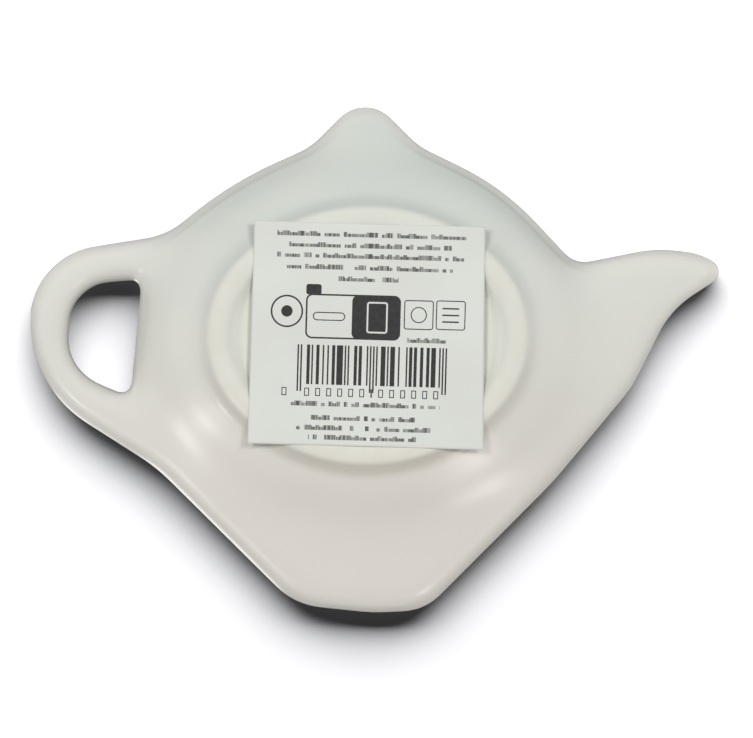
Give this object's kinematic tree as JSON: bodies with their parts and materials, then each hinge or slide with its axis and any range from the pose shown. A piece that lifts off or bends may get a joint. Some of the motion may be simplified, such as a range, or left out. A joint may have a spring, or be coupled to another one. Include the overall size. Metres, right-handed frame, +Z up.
{
  "type": "tea bag rest",
  "caption": "Shallow glazed ceramic tray in the outline of a teapot, with a looped handle, a spout and an oval foot ring, that holds a used tea bag.",
  "frame": {"origin": "on the table, under the middle of the tray's outline", "axes": "+Z up out of the hollow, +Y towards the lid knob, +X towards the handle, so the spout points to -X"},
  "size_m": [0.146, 0.107, 0.0185],
  "materials": {
    "glaze": "gloss",
    "label_paper": "satin"
  },
  "bodies": {
    "root": {"dish": "glaze", "label": "label_paper"}
  },
  "joints": []
}
